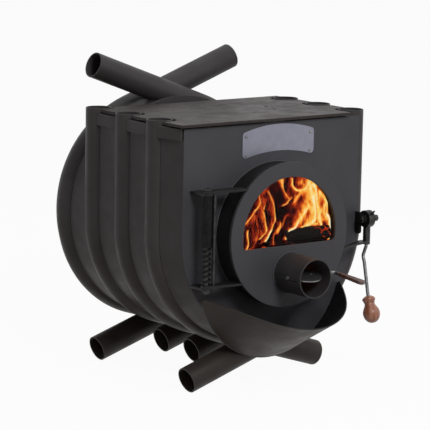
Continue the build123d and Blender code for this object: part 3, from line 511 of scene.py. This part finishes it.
def wall_line(side, y, high_angle):
    """Line down a wall at depth y, from its top or from an angle over the level, to under the firebox."""
    low = sheet_end(foot_angle)
    top = []
    if not high_angle:
        top = [at(side * strip_r, y, seam_top * (1 - i / down_steps)) for i in range(down_steps)]
    turns = [math.radians(high_angle - (high_angle + low) * i / bend_steps) for i in range(bend_steps + 1)]
    return top + [at(side * strip_r * math.cos(t), y, strip_r * math.sin(t)) for t in turns]


seams = [(1, 1, 0), (1, 2, 0), (1, 3, 0), (-1, 1, 0), (-1, 2, 0), (-1, 3, sheet_end(outlet_angle))]
for side, row, high_angle in seams:
    side_name = "right" if side > 0 else "left"
    for edge, y in (("near", row_y(side, row) + strip_edge), ("far", row_y(side, row + 1) - strip_edge)):
        bead(f"weld_{side_name}_{row}_{edge}", wall_line(side, y, high_angle), wall_bead)

# Wooden grip, turned about the handle's last run; reach is along that run and radius about it
seat = [(15.1, 12.5), (15.6, 12.9), (16.6, 12.4)]
neck_at, neck_r = 18.5, 11.8
belly_at, belly_r = 41.0, 20.2
grip_end = 64.2
swell_steps, round_steps, open_end = 14, 17, 0.4
swell_power, round_power = 1.5, 0.92


def grip_profile():
    """Reach and radius from the ferrule over the neck and the belly to the round end."""
    profile = list(seat)
    for i in range(swell_steps + 1):
        share = i / swell_steps
        profile.append((neck_at + (belly_at - neck_at) * share,
                        neck_r + (belly_r - neck_r) * math.sin(share * math.pi / 2) ** swell_power))
    for i in range(1, round_steps + 1):
        turn = i / (round_steps + open_end) * math.pi / 2
        profile.append((belly_at + (grip_end - belly_at) * math.sin(turn),
                        belly_r * math.cos(turn) ** round_power))
    return profile


def turned(name, profile, material):
    """Lathe-turned piece of the latch round the handle's last run."""
    sides = 48
    start = at(*grip_start)
    lean = math.radians(grip_lean)
    run = Vector((0, -math.sin(lean), -math.cos(lean)))
    across = Vector((1, 0, 0))
    over = run.cross(across)
    verts = []
    for reach, radius in profile:
        for cos, sin in round_turns(sides):
            verts.append(start + (run * reach + (across * cos + over * sin) * radius) / 1000)
    faces = [face[::-1] for face in skin(len(profile), sides) + end_caps(len(profile), sides)]
    return new_piece(name, verts, faces, "latch", material)


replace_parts(turned("turned_grip", grip_profile(), grip_wood), "latch_grip")

# Firewood
charred = charred_bark("charred_bark")


def log(name, start, end, radius, seed):
    """Split and charred piece of firewood between two points."""
    rings = 27
    sides = 22
    length = (end - start).length
    axis = (end - start).normalized()
    side = axis.cross(Vector((0.1, 0.2, 0.97))).normalized()
    top = side.cross(axis)
    verts = []
    for i in range(rings):
        share = i / (rings - 1)
        for cos, sin in round_turns(sides):
            rough = 1 + 0.1 * noise.noise(Vector((cos * 1.7, sin * 1.7, share * 5 + seed)))
            rough += 0.035 * noise.noise(Vector((cos * 9, sin * 9, share * 14 + seed)))
            if i in (0, rings - 1):
                rough *= 0.93
            r = radius * (1 - 0.06 * share) * rough
            verts.append(start + axis * (length * share) + (side * cos + top * sin) * r)
    faces = skin(rings, sides)
    for first, point, way in ((0, start, -1), ((rings - 1) * sides, end, 1)):
        centre = len(verts)
        verts.append(point + axis * (0.004 * way))
        for k in range(sides):
            faces.append((first + k, first + (k + 1) % sides, centre)[::way])
    return new_piece(name, verts, faces, "stove", charred)


# Each log has its two ends as (x, y, z) and its radius
logs = [
    ("log_low_left", (-78, -150, -172), (-84, 118, -170), 33),
    ("log_low_mid", (-2, -158, -184), (2, 120, -182), 35),
    ("log_low_right", (78, -154, -171), (74, 124, -173), 33),
    ("log_mid_left", (-46, -166, -120), (-40, 96, -118), 34),
    ("log_mid_right", (34, -160, -117), (42, 110, -119), 35),
    ("log_mid_outer", (112, -150, -114), (106, 100, -112), 32),
    ("log_top_left", (-42, -212, -60), (-34, 60, -57), 32),
    ("log_top_mid", (34, -214, -56), (40, 84, -58), 30),
    ("log_top_right", (96, -210, -52), (88, 70, -56), 25),
    ("log_across", (18, -196, -10), (134, -216, -10), 17)]
for number, (name, start, end, radius) in enumerate(logs):
    log(name, at(*start), at(*end), radius / 1000, number * 3.7)

# Flames, each a path across the opening as (x, z), its half width, its warmth, and its glow to left and right
flames = [
    ([(-97, -34), (-91, -14), (-92, 2), (-90, 12)], 2.2, 1.0, 4, 6),
    ([(-91, -33), (-77, -26), (-68, -11), (-63, 6), (-67, 29), (-66, 47)], 1.6, 0.66, 4, 14),
    ([(-102, 26), (-82, 46), (-68, 60), (-60, 74), (-61, 92), (-46, 108)], 2.0, 0.9, 7, 26),
    ([(-60, -10), (-44, 2), (-40, 14), (-44, 35), (-49, 53), (-45, 70)], 1.6, 0.98, 26, 5),
    ([(-43, -14), (-28, 3), (-24, 18), (-15, 32), (-19, 55), (-26, 76), (-36, 97)], 2.0, 0.98, 14, 5),
    ([(-42, -16), (-34, -4), (-27, 8)], 3.2, 1.2, 4, 4),
    ([(-17, -26), (-16, -4), (-8, 6), (8, 15), (14, 32), (20, 39)], 1.6, 0.72, 5, 6),
    ([(-9, 2), (-4, 11), (0, 20)], 7.0, 0.86, 7, 7),
    ([(16, -16), (24, 0), (40, 7), (50, 19)], 3.6, 1.2, 5, 5),
    ([(46, 14), (58, 28), (70, 42), (80, 56)], 8.0, 0.95, 14, 10),
    ([(-6, 130), (0, 116), (2, 104)], 8.0, 0.84, 14, 8),
    ([(3, 122), (5, 104), (15, 83), (20, 76)], 1.6, 0.92, 6, 6),
    ([(5, 61), (16, 65), (19, 72), (29, 78)], 2.2, 0.95, 4, 4),
    ([(35, 64), (44, 78), (57, 86), (70, 90), (83, 98)], 2.4, 0.8, 5, 9),
    ([(30, 120), (34, 102), (50, 92), (70, 96), (79, 111), (90, 112)], 4.2, 0.97, 5, 7),
    ([(54, 109), (56, 111)], 9.0, 0.66, 8, 8),
    ([(76, 8), (98, 22), (93, 59), (86, 85), (80, 108)], 9.0, 1.02, 12, 10),
    ([(118, 8), (111, 36), (103, 68), (99, 89), (90, 104)], 8.0, 1.0, 8, 8),
    ([(60, 6), (80, 12), (108, 10)], 3.0, 1.0, 4, 6),
    ([(133, 20), (136, 46), (126, 66), (112, 84)], 4.0, 0.84, 10, 6),
    ([(128, 58), (124, 38), (131, 24)], 6.0, 0.78, 6, 6),
    ([(146, -26), (147, -4), (141, 18), (134, 30)], 7.0, 1.25, 4, 6)]
fire_r = 146
fire_low = -70
fire_y = -204
warm_bulge, curl_bulge = 7, 5
columns, rows = 170, 126


def spline(points, count):
    """Smooth line through points."""
    padded = [points[0] * 2 - points[1]] + points + [points[-1] * 2 - points[-2]]
    out = []
    for a, b, c, d in zip(padded, padded[1:], padded[2:], padded[3:]):
        for i in range(count):
            t = i / count
            out.append(0.5 * (2 * b + (c - a) * t + (2 * a - 5 * b + 4 * c - d) * t * t
                              + (3 * b - a - 3 * c + d) * t ** 3))
    out.append(points[-1])
    return out


def noise_field(x, z, across, upward, level):
    """Smooth noise over the sheet of flames, stretched across and upward."""
    return numpy.array([[noise.noise(Vector((a / across, b / upward, level))) for a, b in zip(*row)]
                        for row in zip(x, z)])


def nearest_on(line, x, z):
    """Distance of each point of the sheet to a line, its side of the line, and its share along it."""
    nearest = numpy.full_like(x, 1e9)
    side = numpy.zeros_like(x)
    share = numpy.zeros_like(x)
    for n, (a, b) in enumerate(zip(line, line[1:])):
        step = b - a
        t = numpy.clip(((x - a.x) * step.x + (z - a.y) * step.y) / step.length_squared, 0, 1)
        gap_x, gap_z = x - a.x - t * step.x, z - a.y - t * step.y
        gap = numpy.hypot(gap_x, gap_z)
        closer = gap < nearest
        nearest = numpy.where(closer, gap, nearest)
        side = numpy.where(closer, gap_x * step.y - gap_z * step.x, side)
        share = numpy.where(closer, (n + t) / (len(line) - 1), share)
    return nearest, side, share


def sheet_warmth(x, z, wave, curl):
    """How warm the sheet of flames is: hot licks, a glow about them, and more glow on the right."""
    licks = numpy.zeros_like(x)
    glows = numpy.zeros_like(x)
    glow_share = 0.6 + 0.12 * numpy.clip((x + 10) / 60, 0, 1)
    for points, width, warmth, glow_left, glow_right in flames:
        line = [Vector(p) for p in points]
        line = spline(line, 5) if len(line) > 2 else line
        nearest, side, share = nearest_on(line, x, z)
        thin = width * (0.45 + 0.55 * numpy.sin(math.pi * numpy.clip(0.3 + 0.65 * share, 0, 1)))
        lick = numpy.maximum(nearest * (1 + 0.35 * curl) - width * 0.3 * numpy.abs(wave), 0)
        licks = numpy.maximum(licks, warmth * numpy.exp(-(lick / thin) ** 2))
        spread = numpy.where(side > 0, glow_right, glow_left) * (1 + 0.5 * wave)
        glows = numpy.maximum(glows, glow_share * warmth * numpy.exp(-nearest / spread))
    hot_side = 0.38 * numpy.clip((x - 12) / 60, 0, 1) * numpy.clip((z + 4) / 18, 0, 1)
    return numpy.maximum(licks, glows + hot_side + 0.03 + 0.17 * wave + 0.12 * curl)


def fire_curtain():
    """Sheet of flames behind the glass: a grid that bulges forward where it is warm."""
    x, z = numpy.meshgrid(numpy.linspace(-fire_r, fire_r, columns + 1),
                          numpy.linspace(fire_low, fire_r, rows + 1), indexing="ij")
    reach = numpy.hypot(x, z)
    x = numpy.where(reach > fire_r, x * fire_r / reach, x)
    z = numpy.where(reach > fire_r, z * fire_r / reach, z)
    wave = noise_field(x, z, 9, 16, 2.0)
    curl = noise_field(x, z, 17, 30, 7.0)
    warmth = sheet_warmth(x, z, wave, curl)
    y = fire_y - warm_bulge * numpy.clip(warmth, 0, 1) - curl_bulge * curl
    verts = [at(*p) for p in zip(x.flat, y.flat, z.flat)]
    row = rows + 1
    faces = [(i * row + j, (i + 1) * row + j, (i + 1) * row + j + 1, i * row + j + 1)
             for i in range(columns) for j in range(rows)]
    curtain = new_piece("fire_curtain", verts, faces, "stove", fire("fire", "fire_warmth"))
    layer = curtain.data.attributes.new("fire_warmth", "FLOAT", "POINT")
    layer.data.foreach_set("value", warmth.ravel())


fire_curtain()


# Floor and background, which show as white
seen_rays = ("Is Camera Ray", "Is Glossy Ray", "Is Transmission Ray")


def seen(tree):
    """1 for rays by which the camera sees a surface, 0 for those that light another one."""
    path = tree.nodes.new("ShaderNodeLightPath").outputs
    shown = path[seen_rays[0]]
    for ray in seen_rays[1:]:
        either = tree.nodes.new("ShaderNodeMath")
        either.operation = "MAXIMUM"
        tree.links.new(shown, either.inputs[0])
        tree.links.new(path[ray], either.inputs[1])
        shown = either.outputs[0]
    return shown


floor_half = 30
floor_look = Tree("floor")
shown = seen(floor_look.tree)
tint = floor_look.mix(shown, (0.2, 0.14, 0.1), (0.85, 0.85, 0.85))
pale = floor_look.add("ShaderNodeBsdfDiffuse", {"Color": tint}).outputs[0]
white = floor_look.add("ShaderNodeEmission", {"Color": (1, 1, 1, 1), "Strength": 1.0}).outputs[0]
floor_shader = floor_look.mix_shader(floor_look.math("MULTIPLY", shown, 0.95), pale, white)
corners = ((-1, -1), (1, -1), (1, 1), (-1, 1))
floor_mesh = bpy.data.meshes.new("floor")
floor_mesh.from_pydata([(x * floor_half, y * floor_half, 0) for x, y in corners], [], [(0, 1, 2, 3)])
floor_mesh.materials.append(floor_look.finish(floor_shader))
floor = bpy.data.objects.new("floor", floor_mesh)
bpy.context.scene.collection.objects.link(floor)

world = bpy.data.worlds.new("studio")
world.use_nodes = True
sky = world.node_tree
sky.nodes.clear()
sky_mix = sky.nodes.new("ShaderNodeMixShader")
sky.links.new(seen(sky), sky_mix.inputs[0])
lighting, showing = 0.25, 1.0
for strength, socket in ((lighting, 1), (showing, 2)):
    back = sky.nodes.new("ShaderNodeBackground")
    back.inputs["Color"].default_value = (1, 1, 1, 1)
    back.inputs["Strength"].default_value = strength
    sky.links.new(back.outputs[0], sky_mix.inputs[socket])
sky.links.new(sky_mix.outputs[0], sky.nodes.new("ShaderNodeOutputWorld").inputs["Surface"])
bpy.context.scene.world = world


# Lamps
def lamp(name, place, aim, size, power):
    """Round soft lamp at a place, aimed at a point."""
    light = bpy.data.lights.new(name, "AREA")
    light.shape = "DISK"
    light.size = size
    light.energy = power
    obj = bpy.data.objects.new(name, light)
    obj.location = place
    obj.rotation_mode = "QUATERNION"
    obj.rotation_quaternion = (Vector(aim) - Vector(place)).to_track_quat("-Z", "Y")
    bpy.context.scene.collection.objects.link(obj)


lamp("key", (-0.5, -3.2, 2.6), (0, 0, 0.45), 1.3, 68)
lamp("fill", (2.6, -2.2, 1.2), (0, 0, 0.4), 1.8, 10)
lamp("top", (0.2, 0.4, 3.0), (0, 0, 0.4), 2.0, 13)
